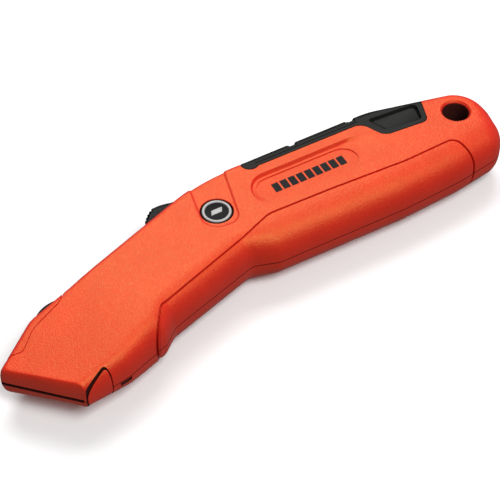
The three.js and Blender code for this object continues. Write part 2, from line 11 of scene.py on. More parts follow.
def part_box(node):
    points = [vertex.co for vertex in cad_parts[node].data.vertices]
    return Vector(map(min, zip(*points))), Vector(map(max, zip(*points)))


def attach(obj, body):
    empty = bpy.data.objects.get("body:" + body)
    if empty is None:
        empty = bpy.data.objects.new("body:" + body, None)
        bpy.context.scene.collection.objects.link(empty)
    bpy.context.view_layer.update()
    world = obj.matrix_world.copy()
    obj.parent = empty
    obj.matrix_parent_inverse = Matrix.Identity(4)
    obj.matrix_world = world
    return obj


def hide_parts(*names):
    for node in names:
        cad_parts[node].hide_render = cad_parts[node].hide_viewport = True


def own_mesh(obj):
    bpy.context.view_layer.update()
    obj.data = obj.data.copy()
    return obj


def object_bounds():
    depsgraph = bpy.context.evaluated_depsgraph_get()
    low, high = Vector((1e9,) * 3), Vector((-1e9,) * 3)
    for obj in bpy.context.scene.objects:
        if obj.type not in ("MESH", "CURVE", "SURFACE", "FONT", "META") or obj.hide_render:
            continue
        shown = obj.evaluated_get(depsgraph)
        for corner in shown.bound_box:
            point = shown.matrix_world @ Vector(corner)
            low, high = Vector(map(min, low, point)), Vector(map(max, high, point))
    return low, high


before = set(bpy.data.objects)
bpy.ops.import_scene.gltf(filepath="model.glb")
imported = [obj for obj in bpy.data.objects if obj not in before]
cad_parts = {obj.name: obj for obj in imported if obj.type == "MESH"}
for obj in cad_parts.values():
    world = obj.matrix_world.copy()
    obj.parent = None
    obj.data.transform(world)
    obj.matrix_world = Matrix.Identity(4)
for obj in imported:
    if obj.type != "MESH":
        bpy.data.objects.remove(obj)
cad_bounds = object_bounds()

# Shapes are made in millimetres in the knife's own axes: +x to the tail, +y to the spine, +z out of the left
# face, and z = 0 on the parting plane. The door's pin places these axes in the frame.
MM = 0.001
PIN = (8.4, 21.3)
pin_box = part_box("door_pin")
ORIGIN = np.array([
    (pin_box[0][0] + pin_box[1][0]) / 2 / MM - PIN[0],
    (pin_box[0][1] + pin_box[1][1]) / 2 / MM - PIN[1],
    (pin_box[0][2] + pin_box[1][2]) / 2 / MM,
])
# FAR reaches past the whole knife along y and z. OUTSIDE is a height clear of its faces.
FAR = 60
OUTSIDE = 14

# ---- Driving dimensions ----
HALF_THICKNESS = 9.5
NOSE_TOP = 5.8
NOSE_BOTTOM = 4.8
NOSE_TAPER_LENGTH = 30
NOSE_TAPER_BLEND = 0.8
CORNER_TAPER = dict(at=(-68, -22.6), depth=2.2, reach=20)
SECTION_POWER = 2.6
GAP = 0.3
WALL = 2.4
NOSE_ANGLE = math.radians(20.2)
NOSE_ORIGIN = np.array([-74.9, -16.6])
NOSE_AXIS = np.array([math.cos(NOSE_ANGLE), math.sin(NOSE_ANGLE)])
FRONT_ROOM_END = -88.24
# Shell faces deeper than this below the outside get painted shade instead of the orange paint.
PAINTED_SHADE_DEPTH = 0.55

DOOR_SKIN = 1.8
KNUCKLE_RADIUS = 2.6
KNUCKLE_HALF = 5.2
PIN_BORE = dict(radius=1.3, half=8.3)
BAY = dict(front=2.5, back=66.8, wall=3.3, mouth_front=12, mouth_back=65.8, mouth_half=5.4)
BADGE = dict(x=-9, y=9.5, recess=4.75, disc=4.45, ring=4.2, bore=3.4, floor=7.7)
BADGE_SINK = dict(x=-8, reach=14, edge=0.7, depth=0.42)
PLATE = dict(x0=9.2, x1=32.8, y=9.5, radius=4.7, depth=0.3)
BARS = dict(count=9, left=9.3, pitch=2.72, width=2.15, height=3.7, y=9.35, lean=0.3)
LANYARD = dict(x=73, y=9.6, radius=4)
TAIL_SCREW = dict(x=74, y=-0.4)
SCREW = dict(radius=1.5, head=3, depth=2.2, bore=1.8, boss=3.4)
CARRIER = dict(front=33, low=-4, high=8.4, half=2.5, neck_front=58.5, neck_back=68.4)
SHELF = dict(front=6, back=29.6, low=10, high=11.2)
RELEASE = dict(front=14.2, back=22.6, low=12.7, high=18.2, half=3.2, dome=9)
COIL = dict(radius=1.35, turns=4, low=11.55, high=16.2, wire=0.22)
SLIDER = dict(low=16.2, half=4.4, neck_front=61, neck_back=67, neck_low=11.8, neck_half=1.6)
SLIDER_RISE = 1.25
SLIDER_FORWARD = 0.3
LEAF = dict(front=61.1, length=5.8, low=10.1, thickness=0.25, rise=1.2, half=1.3)
TRAVEL = 28
BLADE = dict(length=61, height=19, back=33.4, thickness=0.6, setback=6, hole=1.9)
BLADE_SLOT = dict(reach=12, height=10.5, half=0.6)
SPARE = dict(x=34, y=5.4, pitch=1)

# The scoop's floor falls by deep over run, from low. The floor and the rim are ovals, each given by the x of its
# two centres, their y and its radius.
SCOOP = dict(low=4.2, deep=0.95, run=11.5, floor=(9.3, 36.5, 9.4, 5.8), rim=(9.3, 38.0, 9.3, 6.5), stretch=0.35)
# The dowels' middles: the front one in the nose's axes, the rear one in the knife's.
DOWEL = dict(front=(28, 12.7), rear=(-1.4, -1.4), bore=1.4, half=4.3, front_boss=1.9, rear_boss=2.2)
# Stretches of the door's top along x with ribs, and with dips between and behind them.
RIB = dict(pitch=0.78, groove=0.36, depth=0.28, runs=((8.4, 21.6), (24.8, 42), (45.2, 56.4)))
DIP = dict(depth=0.6, slope=0.9, runs=((21.6, 24.8), (42, 45.2), (56.4, 66)))

# Corners of the side view: edge x, y, radius at the parting plane, crown x, y, radius on the left face, and how
# much further in the crown lies on the right face, as a share of its distance from the edge.
CORNERS = [
    (-66.4, -25.8, 0.6, -68, -22.6, 0.6, 0.5),
    (-53.2, -23.6, 12, -55, -18.5, 10, 0.5),
    (-40, -19.1, 3, -43.4, -11.5, 5, 0.4),
    (-35.4, -15.2, 4, -38.2, -7.7, 6, 0.3),
    (-6.6, -6.6, 5, -9, 0.8, 8, 0.4),
    (0.9, -9.1, 8, 0.5, 2.6, 12, 0.1),
    (43.2, -9.5, 60, 43.2, 2.3, 50, 0),
    (63.6, -8.3, 60, 63, 3.4, 50, 0),
    (81.8, -5.4, 8, 75.6, 4.8, 2, 0),
    (83.7, 5.5, 15, 77.9, 8, 3, 0),
    (83.5, 17.2, 11, 78.4, 14.2, 5, 0),
    (50, 24.3, 30, 49.6, 21.3, 27, 0),
    (-8.4, 23.8, 60, -7.8, 20.9, 57, 0),
    (-56.5, 6.5, 20, -55.6, 3.7, 20, 0),
    (-70.2, 2.3, 9, -69.4, 0, 8, 0),
    (-83.9, -8.3, 1.5, -81.3, -9.4, 1, 0),
]
# Outlines in the side view, as x, y and corner radius.
DOOR = [(8.4, 30, 0), (8.4, 19.2, 0), (45.2, 19.2, 4), (48.6, 11.5, 4), (63.4, 10.4, 2.5), (67, 21, 0),
        (67, 30, 0)]
DOOR_LINE = [(9.6, 20.25, 0), (27, 20.3, 0), (44.8, 20.25, 0)]
GUIDE_HOLE = [(-70, -29, 0), (-66.6, -25.2, 0), (-59.6, -21.9, 1), (-58.4, -24.6, 2), (-59.6, -29, 0)]
GUIDE = [(-70.2, -29.4, 0), (-66.9, -25.95, 0), (-59.55, -22.65, 0.8), (-58.7, -24.9, 2), (-59.9, -29.4, 0)]
BADGE_RECESS = [(-9.6, 30, 0), (-15.5, 3.3, 5), (-4.8, 3.3, 3.5), (2.5, 30, 0)]
FINGER_PAD = [(47.4, 19.6, 1), (64.4, 18.4, 1.6), (62.4, 11.8, 1.4), (50.2, 13.3, 0.8)]
PANEL_LINE = [(-45, -34, 0), (-44.3, -21, 2), (-38.2, -12.6, 3), (-5.2, -1.9, 12), (3, 1.2, 9), (24, 0.75, 60),
              (48, -0.3, 60), (65.8, 0.4, 3.5), (78.3, -34, 0)]
STRIP_LINE = [(-92, -2.9, 0), (-75.6, -6.9, 2.2), (-70.2, -1.7, 7), (-61, 2, 5), (-58.6, 4, 3), (-60.5, 12, 0)]
BELLY_SLIT = [(-56.4, -27), (-52.8, -27), (-52.8, -20.6), (-56.4, -21.8)]
BELLY_SLIT_Z = (-1.7, -0.3)
# The slider's cap in the nose's axes, as u, v and corner radius: a hump, then ribs towards the nose.
SLIDER_CAP = [(58.4, 16.2, 0.2), (69.4, 16.2, 0.1), (69.3, 16.6, 0.1), (67.6, 17.6, 3), (65.8, 18.4, 4),
              (63.3, 19.05, 0.25), (62.8, 18.6, 0.1), (62.0, 18.85, 0.2), (61.6, 18.3, 0.1),
              (60.8, 18.5, 0.2), (60.45, 17.9, 0.1), (59.65, 18.05, 0.2), (59.35, 17.45, 0.1),
              (58.6, 17.55, 0.2), (58.4, 17.1, 0.2)]


# ---- Mesh tools ----
def solid(points, faces):
    """A closed temporary mesh object, with its faces turned outwards."""
    mesh = bpy.data.meshes.new("solid")
    mesh.from_pydata([tuple(map(float, p)) for p in points], [], faces)
    shape = bmesh.new()
    shape.from_mesh(mesh)
    bmesh.ops.recalc_face_normals(shape, faces=shape.faces)
    shape.to_mesh(mesh)
    shape.free()
    result = bpy.data.objects.new("solid", mesh)
    bpy.context.scene.collection.objects.link(result)
    return result


def copy(shape):
    result = shape.copy()
    result.data = shape.data.copy()
    bpy.context.scene.collection.objects.link(result)
    return result


def combine(shape, others, operation):
    """Applies one boolean after another to shape; the others are used up."""
    for other in others:
        modifier = shape.modifiers.new("combine", "BOOLEAN")
        modifier.operation = operation
        modifier.solver = "MANIFOLD"
        modifier.object = other
        graph = bpy.context.evaluated_depsgraph_get()
        mesh = bpy.data.meshes.new_from_object(shape.evaluated_get(graph))
        shape.modifiers.clear()
        shape.data = mesh
        bpy.data.objects.remove(other)
    return shape


def cut(shape, *others):
    return combine(shape, others, "DIFFERENCE")


def add(shape, *others):
    return combine(shape, others, "UNION")


def keep(shape, *others):
    return combine(shape, others, "INTERSECT")


def loft(rings, capped=True):
    """A closed mesh through rings of equal point counts. Its ends are flat when it is capped, or else its last ring
    joins its first."""
    count = len(rings[0])
    faces = []
    if capped:
        faces = [list(range(count))[::-1], [len(rings) * count - count + i for i in range(count)]]
    for level in range(len(rings) - capped):
        start, end = level * count, (level + 1) % len(rings) * count
        for i in range(count):
            j = (i + 1) % count
            faces.append([start + i, start + j, end + j, end + i])
    return solid([p for ring in rings for p in ring], faces)


def prism(outline, low, high):
    """A prism over an outline; low and high are numbers or functions of x and y."""
    height = lambda z, x, y: z(x, y) if callable(z) else z
    return loft([[(x, y, height(z, x, y)) for x, y in outline] for z in (low, high)])


def circle(radius, x, y, sides=64):
    angles = [2 * math.pi * i / sides for i in range(sides)]
    return [(x + radius * math.cos(a), y + radius * math.sin(a)) for a in angles]


def rod(radius, x, y, low, high, sides=64):
    return prism(circle(radius, x, y, sides), low, high)


def turned_rings(profile, x, y, sides):
    return [[(px, py, z) for px, py in circle(max(radius, 0.01), x, y, sides)] for radius, z in profile]


def turned(profile, x, y, sides=64):
    """A solid of revolution about a line along z; profile runs from end to end as radius, z."""
    return loft(turned_rings(profile, x, y, sides))


def box_outline(low, high):
    return [(low[0], low[1]), (high[0], low[1]), (high[0], high[1]), (low[0], high[1])]


def block(low, high):
    return prism(box_outline(low, high), low[2], high[2])


def nose_points(points):
    """Places points from the nose's own axes, u to the tail and v to the spine, in the knife's."""
    c, s = NOSE_AXIS
    return [(NOSE_ORIGIN[0] + u * c - v * s, NOSE_ORIGIN[1] + u * s + v * c) for u, v in points]


def nose_block(low, high):
    return prism(nose_points(box_outline(low, high)), low[2], high[2])


def fillet(before, corner, after, radius):
    """Centre, first angle and sweep of the round that fills a corner."""
    back = (before - corner) / np.linalg.norm(before - corner)
    ahead = (after - corner) / np.linalg.norm(after - corner)
    half = math.acos(np.clip(back @ ahead, -1, 1)) / 2
    centre = corner + (back + ahead) / np.linalg.norm(back + ahead) * radius / math.sin(half)
    start = corner + back * radius / math.tan(half) - centre
    end = corner + ahead * radius / math.tan(half) - centre
    sweep = math.atan2(start[0] * end[1] - start[1] * end[0], start @ end)
    return centre, start, sweep


def rounded(corners, spacing=0.5, closed=True):
    """Points along an outline with rounded corners."""
    places = [np.array(c[:2], float) for c in corners]
    points = []
    for i, (place, corner) in enumerate(zip(places, corners)):
        if not corner[2] or (not closed and i in (0, len(corners) - 1)):
            points.append(place)
            continue
        centre, start, sweep = fillet(places[i - 1], place, places[(i + 1) % len(places)], corner[2])
        steps = max(3, math.ceil(abs(sweep) * corner[2] / spacing))
        points.extend(centre + turn(start, sweep * k / steps) for k in range(steps + 1))
    return points


def turn(vector, angle):
    c, s = math.cos(angle), math.sin(angle)
    return np.array([vector[0] * c - vector[1] * s, vector[0] * s + vector[1] * c])


def side_lines(spacing):
    """The edge and the left and right crown outlines as arrays whose points belong together one by one."""
    edges = [(np.array(c[0:2], float), c[2]) for c in CORNERS]
    crowns = [(np.array(c[3:5], float), c[5]) for c in CORNERS]
    unders = [(crown + (crown - edge) * c[6], c[5])
              for (edge, _), (crown, _), c in zip(edges, crowns, CORNERS)]
    count = len(CORNERS)
    rounds = []
    for line in (edges, crowns, unders):
        arcs = []
        for i, (place, radius) in enumerate(line):
            arcs.append((*fillet(line[i - 1][0], place, line[(i + 1) % count][0], radius), radius))
        rounds.append(arcs)
    lines = ([], [], [])
    for i in range(count):
        steps = max(4, math.ceil(max(abs(arcs[i][2]) * arcs[i][3] for arcs in rounds) / spacing))
        gaps = []
        for line, arcs in zip(lines, rounds):
            centre, start, sweep, _ = arcs[i]
            line.extend(centre + turn(start, sweep * k / steps) for k in range(steps + 1))
            following = arcs[(i + 1) % count]
            gaps.append((line[-1], following[0] + following[1]))
        straight = max(1, math.ceil(max(np.linalg.norm(b - a) for a, b in gaps) / spacing))
        for line, (a, b) in zip(lines, gaps):
            line.extend(a + (b - a) * k / straight for k in range(1, straight))
    return [np.array(line) for line in lines]


def face_height(points, is_left):
    """A face's distance from the parting plane. It slopes down towards the nose, and on the right face also
    towards the nose's belly corner."""
    at_nose = NOSE_TOP if is_left else NOSE_BOTTOM
    along = (points - NOSE_ORIGIN) @ NOSE_AXIS
    slope = at_nose + (HALF_THICKNESS - at_nose) * along / NOSE_TAPER_LENGTH
    blend = np.maximum(NOSE_TAPER_BLEND - np.abs(slope - HALF_THICKNESS), 0) / NOSE_TAPER_BLEND
    height = np.minimum(slope, HALF_THICKNESS) - blend ** 2 * NOSE_TAPER_BLEND / 4
    if is_left:
        return height
    from_corner = np.linalg.norm(points - CORNER_TAPER["at"], axis=1)
    return height - CORNER_TAPER["depth"] * np.maximum(0, 1 - from_corner / CORNER_TAPER["reach"])


def inside(points, outline):
    """Whether each point lies inside a closed outline."""
    outline = np.asarray(outline)
    x, y = points[:, 0:1], points[:, 1:2]
    x0, y0 = outline[:, 0], outline[:, 1]
    x1, y1 = np.roll(x0, -1), np.roll(y0, -1)
    crosses = (y0 > y) != (y1 > y)
    with np.errstate(divide="ignore", invalid="ignore"):
        at = x0 + (y - y0) * (x1 - x0) / (y1 - y0)
    return (crosses & (x < at)).sum(axis=1) % 2 == 1


def distance(points, line, closed=True):
    """Distance from each point to a line of straight pieces."""
    line = np.asarray(line)
    starts = line if closed else line[:-1]
    ends = np.roll(line, -1, axis=0) if closed else line[1:]
    best = np.full(len(points), np.inf)
    for start, end in zip(starts, ends):
        step = end - start
        share = np.clip((points - start) @ step / max(step @ step, 1e-12), 0, 1)
        best = np.minimum(best, np.linalg.norm(points - start - share[:, None] * step, axis=1))
    return best


def flat_mesh(crown, spacing, rows):
    """Points and triangles that fill a crown outline, with extra points along rows."""
    low, high = crown.min(axis=0), crown.max(axis=0)
    step = spacing * 1.8
    grid = np.array([(x + (j % 2) * step / 2, y)
                     for j, y in enumerate(np.arange(low[1], high[1], step * 0.87))
                     for x in np.arange(low[0], high[0], step)])
    for row in rows:
        grid = grid[distance(grid, row, closed=False) > step * 0.55]
    inner = np.concatenate([grid, *rows])
    inner = inner[inside(inner, crown)]
    inner = inner[distance(inner, crown) > spacing * 0.5]
    plan = np.concatenate([crown, inner])
    triangles = delaunay_2d_cdt([Vector(p) for p in plan], [], [list(range(len(crown)))], 1, 1e-6)[2]
    return plan, triangles


def form(wall, spacing=1.5, levels=9, rows=()):
    """The knife's rounded form, moved inwards by wall. rows are lines that the faces' meshes follow."""
    edge, left_crown, right_crown = side_lines(spacing)
    count = len(edge)
    points = []
    for angle in np.linspace(-90, 90, 2 * levels + 1)[1:-1]:
        a = math.radians(angle)
        crown = left_crown if angle >= 0 else right_crown
        width = np.linalg.norm(edge - crown, axis=1)
        inner = crown + (edge - crown) * (np.maximum(width - wall, 0.05) / width)[:, None]
        place = crown + (inner - crown) * math.cos(a) ** (2 / SECTION_POWER)
        rise = math.copysign(abs(math.sin(a)) ** (2 / SECTION_POWER), a)
        height = np.maximum(face_height(place, angle >= 0) - wall, 0.3) * rise
        points.extend(np.column_stack([place, height]))
    last = len(points) - count

    pairs = [(i, (i + 1) % count) for i in range(count)]
    faces = [[level + i, level + j, level + count + j, level + count + i]
             for level in range(0, last, count) for i, j in pairs]
    for crown, ring, side in ((left_crown, last, 1), (right_crown, 0, -1)):
        plan, triangles = flat_mesh(crown, spacing, rows)
        start = len(points)
        points.extend(np.column_stack([plan, side * np.maximum(face_height(plan, side > 0) - wall, 0.3)]))
        faces.extend([ring + i, ring + j, start + j, start + i] for i, j in pairs)
        faces.extend([start + a, start + b, start + c] for a, b, c in triangles)
    return solid(points, faces)


def offset_line(line, shift):
    """An open line moved sideways, to its left when shift is positive."""
    line = np.asarray(line, float)
    step = np.gradient(line, axis=0)
    step /= np.linalg.norm(step, axis=1)[:, None]
    return line + shift * np.column_stack([-step[:, 1], step[:, 0]])


def groove(line, layers):
    """Cutters for a groove along a line in side view, at an even depth below the surface all round the knife.
    Each layer gives the groove's reach to the left and right of the line, and its depth."""
    cutters = []
    for left, right, depth in layers:
        outline = list(offset_line(line, left)) + list(offset_line(line, -right))[::-1]
        cutters.append(cut(prism(outline, -FAR, FAR), form(depth, 0.8, 12)))
    return cutters


# ---- Materials ----
def material(name, colour, roughness, metallic=0.0, **sockets):
    result = bpy.data.materials.new(name)
    result.use_nodes = True
    shader = result.node_tree.nodes["Principled BSDF"]
    shader.inputs["Base Color"].default_value = (*colour, 1)
    shader.inputs["Roughness"].default_value = roughness
    shader.inputs["Metallic"].default_value = metallic
    for socket, value in sockets.items():
        shader.inputs[socket.replace("_", " ")].default_value = value
    return result


def node(tree, kind, links=(), **values):
    """A shader node with its sockets filled from values and linked from (socket, output) pairs."""
    result = tree.nodes.new(kind)
    for key, value in values.items():
        if hasattr(result, key):
            setattr(result, key, value)
        else:
            result.inputs[key.replace("_", " ")].default_value = value
    for socket, output in links:
        tree.links.new(output, result.inputs[socket])
    return result


def coordinates(tree, scale=(1, 1, 1)):
    place = node(tree, "ShaderNodeTexCoord").outputs["Object"]
    return node(tree, "ShaderNodeMapping", [("Vector", place)], Scale=scale).outputs["Vector"]


def ramp(tree, factor, stops):
    """A colour ramp through (position, colour or grey) stops."""
    result = node(tree, "ShaderNodeValToRGB", [("Fac", factor)])
    elements = result.color_ramp.elements
    while len(elements) < len(stops):
        elements.new(0.5)
    for element, (position, colour) in zip(elements, stops):
        element.position = position
        element.color = (*colour, 1) if isinstance(colour, tuple) else (colour, colour, colour, 1)
    return result.outputs["Color"]


def finish(name, dark, light, roughness, grain, bump, metallic=0.0, stretch=(1, 1, 1), **sockets):
    """A material with mottled colour from dark to light, uneven roughness and a fine grain, all from noise in
    object space. bump gives the grain's strength and depth in metres."""
    result = material(name, dark, 0.5, metallic, **sockets)
    tree = result.node_tree
    shader = tree.nodes["Principled BSDF"]
    place = coordinates(tree, stretch)
    mottle = node(tree, "ShaderNodeTexNoise", [("Vector", place)], Scale=90.0, Detail=4.0, Roughness=0.6)
    fine = node(tree, "ShaderNodeTexNoise", [("Vector", place)], Scale=grain, Detail=3.0, Roughness=0.55)
    blend = node(tree, "ShaderNodeMix", [("Factor", mottle.outputs["Fac"])], data_type="FLOAT")
    tree.links.new(fine.outputs["Fac"], blend.inputs["A"])
    tree.links.new(mottle.outputs["Fac"], blend.inputs["B"])
    colour = ramp(tree, blend.outputs["Result"], [(0.3, dark), (0.7, light)])
    rough = ramp(tree, fine.outputs["Fac"], [(0.3, roughness[0]), (0.7, roughness[1])])
    tree.links.new(colour, shader.inputs["Base Color"])
    tree.links.new(rough, shader.inputs["Roughness"])
    height = node(tree, "ShaderNodeBump", [("Height", fine.outputs["Fac"])],
                  Strength=bump[0], Distance=bump[1])
    tree.links.new(height.outputs["Normal"], shader.inputs["Normal"])
    return result


paint = finish("orange_paint", (0.58, 0.009, 0.008), (0.75, 0.018, 0.012), (0.34, 0.54), 2300.0,
               (1.0, 0.00014), Specular_Tint=(1.0, 0.76, 0.22, 1.0), Specular_IOR_Level=0.9)
black = finish("black_plastic", (0.011, 0.011, 0.010), (0.017, 0.017, 0.016), (0.42, 0.58), 2200.0,
               (0.5, 0.00008), Specular_IOR_Level=0.1)
grey = finish("carrier_plastic", (0.045, 0.048, 0.055), (0.06, 0.063, 0.07), (0.45, 0.6), 1800.0,
              (0.3, 0.00005))
steel = finish("blade_steel", (0.21, 0.215, 0.22), (0.29, 0.295, 0.30), (0.3, 0.46), 900.0,
               (0.35, 0.00003), metallic=1.0, stretch=(0.08, 1, 1))
zinc = finish("zinc_steel", (0.42, 0.43, 0.44), (0.58, 0.59, 0.60), (0.25, 0.45), 1400.0,
              (0.3, 0.00004), metallic=1.0)
# Painted shade: a dark brown-red that stands in for the shade in the shells' bores, slots, gaps and rooms.
inner = finish("painted_shade_inside", (0.040, 0.008, 0.006), (0.062, 0.013, 0.009), (0.6, 0.8), 900.0,
               (0.5, 0.0001), Specular_IOR_Level=0.15)
enamel = finish("badge_black", (0.008, 0.008, 0.008), (0.012, 0.012, 0.012), (0.3, 0.42), 1200.0,
                (0.15, 0.00003), Specular_IOR_Level=0.04)
silver = finish("badge_silver", (0.34, 0.335, 0.33), (0.44, 0.435, 0.43), (0.42, 0.55), 1600.0,
                (0.3, 0.00004), metallic=0.12)
ink = finish("printed_black", (0.010, 0.010, 0.010), (0.016, 0.016, 0.016), (0.5, 0.65), 2000.0,
             (0.3, 0.00004), Specular_IOR_Level=0.1)


# ---- Pieces ----
def piece(name, shape, look, body, replaces=None, angle=32):
    """Turns a temporary solid into a finished piece in the frame."""
    shape.name = name
    shape.data.name = name
    shape.data.transform(Matrix.Scale(MM, 4) @ Matrix.Translation(Vector(ORIGIN)))
    if look:
        shape.data.materials.clear()
        shape.data.materials.append(look)
    shape.data.shade_smooth()
    shape.data.set_sharp_from_angle(angle=math.radians(angle))
    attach(shape, body)
    if replaces:
        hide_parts(replaces)
    return shape


def door_zone(margin):
    outline = [(x + (margin if i > 4 else 0), y - margin, r) for i, (x, y, r) in enumerate(DOOR)]
    knuckle = rod(KNUCKLE_RADIUS + margin, PIN[0], PIN[1], -FAR, FAR)
    return add(prism(rounded(outline, 0.3), -FAR, FAR), knuckle)


def relief(shape):
    """Sinks the soft-edged recess round the badge into both faces."""
    mesh = shape.data
    count = len(mesh.vertices)
    points = np.empty(count * 3, np.float32)
    normals = np.empty(count * 3, np.float32)
    mesh.vertices.foreach_get("co", points)
    mesh.vertex_normals.foreach_get("vector", normals)
    points = points.reshape(-1, 3).astype(float)
    normals = normals.reshape(-1, 3)
    outline = rounded(BADGE_RECESS, 0.4)
    near = np.abs(points[:, 0] - BADGE_SINK["x"]) < BADGE_SINK["reach"]
    plan = points[near, :2]
    depth = distance(plan, outline) * np.where(inside(plan, outline), 1, -1)
    share = np.clip(depth / BADGE_SINK["edge"] + 0.5, 0, 1)
    above = plan[:, 1] > 0
    sink = BADGE_SINK["depth"] * share * share * (3 - 2 * share) * above
    points[near] -= normals[near] * sink[:, None]
    mesh.vertices.foreach_set("co", points.astype(np.float32).ravel())
    mesh.update()
    return shape


def screw_seat(x, y):
    """Height of the seat under a screw's head. The tail's screw sits deeper, as it lies on the rounded flank."""
    height = face_height(np.array([[x, y]], float), False)[0]
    return -height + 0.5 + SCREW["depth"] + (2.2 if y < 0 else 0)


def recess_line():
    """The badge recess's outline at an even spacing, for rows of mesh along its soft edge."""
    corners = rounded(BADGE_RECESS, 0.4)
    line = [corners[0]]
    for point in corners[1:]:
        gap = np.linalg.norm(point - line[-1])
        steps = max(1, math.ceil(gap / 0.45))
        start = line[-1]
        line.extend(start + (point - start) * k / steps for k in range(1, steps + 1))
    return line


# Name plate: a flat oval sunk in a scoop that is deepest along its upper edge.
def scoop_floor(x, y):
    return HALF_THICKNESS - SCOOP["deep"] * (y - SCOOP["low"]) / SCOOP["run"]


def plate_floor(x, y):
    return scoop_floor(x, y) - PLATE["depth"]


def stadium(x0, x1, y, radius, steps=28):
    left = [(x0 + radius * math.cos(a), y + radius * math.sin(a))
            for a in np.linspace(math.pi / 2, 3 * math.pi / 2, steps)]
    right = [(x1 + radius * math.cos(a), y + radius * math.sin(a))
             for a in np.linspace(-math.pi / 2, math.pi / 2, steps)]
    return left + right


def scoop():
    """The tilted scoop: steep at its upper edge and left end, fading out to the right."""
    end = SCOOP["rim"][1]
    rim = [(x + SCOOP["stretch"] * max(x - end, 0), y) for x, y in stadium(*SCOOP["rim"])]
    base = [(x, y, scoop_floor(x, y)) for x, y in stadium(*SCOOP["floor"])]
    lip = [(x, y, HALF_THICKNESS + 0.02) for x, y in rim]
    top = [(x, y, OUTSIDE) for x, y in rim]
    return loft([base, lip, top])


def plate_pocket():
    outline = stadium(PLATE["x0"], PLATE["x1"], PLATE["y"], PLATE["radius"])
    return prism(outline, plate_floor, OUTSIDE)


def mirrored(shape):
    """The same cutter on the right face."""
    shape.data.transform(Matrix.Scale(-1, 4, Vector((0, 0, 1))))
    shape.data.flip_normals()
    return shape


# The whole outside in one solid, with its grooves, scoops and recesses.
soft_edge_rows = [offset_line(recess_line(), shift) for shift in (-0.5, -0.25, 0, 0.25, 0.5)]
body = relief(form(0, 0.45, 18, soft_edge_rows))
panel_line = rounded(PANEL_LINE, 0.4, closed=False)
strip_line = rounded(STRIP_LINE, 0.4, closed=False)
for layer in groove(panel_line, [(0.12, 0.85, 0.1), (0.12, 0.5, 0.24), (0.14, 0.3, 0.5), (0.16, 0.18, 0.8)]):
    cut(body, layer)
cut(body, scoop(), plate_pocket(), mirrored(scoop()), mirrored(plate_pocket()))
top_half = block((-120, -60, 0), (120, 60, FAR))
for layer in groove(strip_line, [(0.1, 0.8, 0.08), (0.1, 0.45, 0.16), (0.1, 0.1, 0.4)]):
    cut(body, keep(layer, copy(top_half)))
bpy.data.objects.remove(top_half)

# Rooms inside the shells. The front one ends along a line parallel to the knife's front edge, where x + y is
# FRONT_ROOM_END, which leaves a thicker wall there.
front_room = cut(
    keep(form(WALL), block((-100, -30, -FAR), (0.4, 40, FAR))),
    prism([(FRONT_ROOM_END + FAR, -FAR), (FRONT_ROOM_END - FAR, FAR), (-200, FAR), (-200, -FAR)], -FAR, FAR),
)
bay_room = keep(form(BAY["wall"]), block((BAY["front"], -30, -FAR), (BAY["back"], 40, FAR)))
mouth = block((BAY["mouth_front"], 12, -BAY["mouth_half"]), (BAY["mouth_back"], 40, BAY["mouth_half"]))
door_room = cut(door_zone(GAP), form(DOOR_SKIN + GAP))
fittings = [
    rod(SCREW["boss"], BADGE["x"], BADGE["y"], -FAR, FAR),
    rod(DOWEL["rear_boss"], *DOWEL["rear"], -FAR, FAR),
    prism(nose_points(circle(DOWEL["front_boss"], *DOWEL["front"])), -FAR, FAR),
    nose_block((SHELF["front"], SHELF["low"], -FAR), (SHELF["back"], SHELF["high"], FAR)),
]
fittings = [keep(fitting, copy(body)) for fitting in fittings]
knuckle_room = rod(KNUCKLE_RADIUS + GAP, PIN[0], PIN[1], -FAR, FAR)
shells = cut(copy(body), front_room, bay_room, mouth, door_room, knuckle_room)
for fitting in fittings:
    add(shells, cut(fitting, door_zone(GAP)))
knuckle_boss = rod(KNUCKLE_RADIUS - 0.4, PIN[0], PIN[1], -KNUCKLE_HALF, KNUCKLE_HALF)
knuckle_foot = block((1, 16.5, -KNUCKLE_HALF), (PIN[0] + 1.6, PIN[1] - 0.4, KNUCKLE_HALF))
add(shells, knuckle_boss, knuckle_foot)

# The lanyard hole flares towards each face, and so does the badge's recess a little.
flare = [(0.9, 9.9), (0.62, 9.42), (0.28, 9.16), (0.07, 8.8), (0, 8.3)]
hole = [(LANYARD["radius"] + wider, z) for wider, z in flare]
badge_recess = [(5.0, OUTSIDE), (5.0, 9.2), (4.85, 9.02), (BADGE["recess"], 8.85),
                (BADGE["recess"], BADGE["floor"])]
cuts = [
    nose_block((-BLADE_SLOT["reach"], -BLADE_SLOT["height"], -BLADE_SLOT["half"]),
               (BLADE_SLOT["reach"], BLADE_SLOT["height"], BLADE_SLOT["half"])),
    nose_block((CARRIER["neck_front"] - TRAVEL - 0.4, 11.5, -CARRIER["half"] - GAP),
               (CARRIER["neck_back"] + 0.4, 24, CARRIER["half"] + GAP)),
    nose_block((CARRIER["front"] - TRAVEL - GAP, CARRIER["low"] - GAP, -CARRIER["half"] - GAP),
               (CARRIER["front"], CARRIER["high"] + GAP, CARRIER["half"] + GAP)),
    nose_block((RELEASE["front"] - GAP, SHELF["high"], -RELEASE["half"] - GAP),
               (RELEASE["back"] + GAP, 26, RELEASE["half"] + GAP)),
    turned(hole + [(r, -z) for r, z in reversed(hole)], LANYARD["x"], LANYARD["y"], 96),
    turned(badge_recess, BADGE["x"], BADGE["y"], 96),
    prism(nose_points(circle(DOWEL["bore"], *DOWEL["front"])), -DOWEL["half"], DOWEL["half"]),
    rod(DOWEL["bore"], *DOWEL["rear"], -DOWEL["half"], DOWEL["half"]),
    rod(PIN_BORE["radius"], PIN[0], PIN[1], -PIN_BORE["half"], PIN_BORE["half"]),
    prism(rounded(GUIDE_HOLE, 0.3), -FAR, FAR),
]
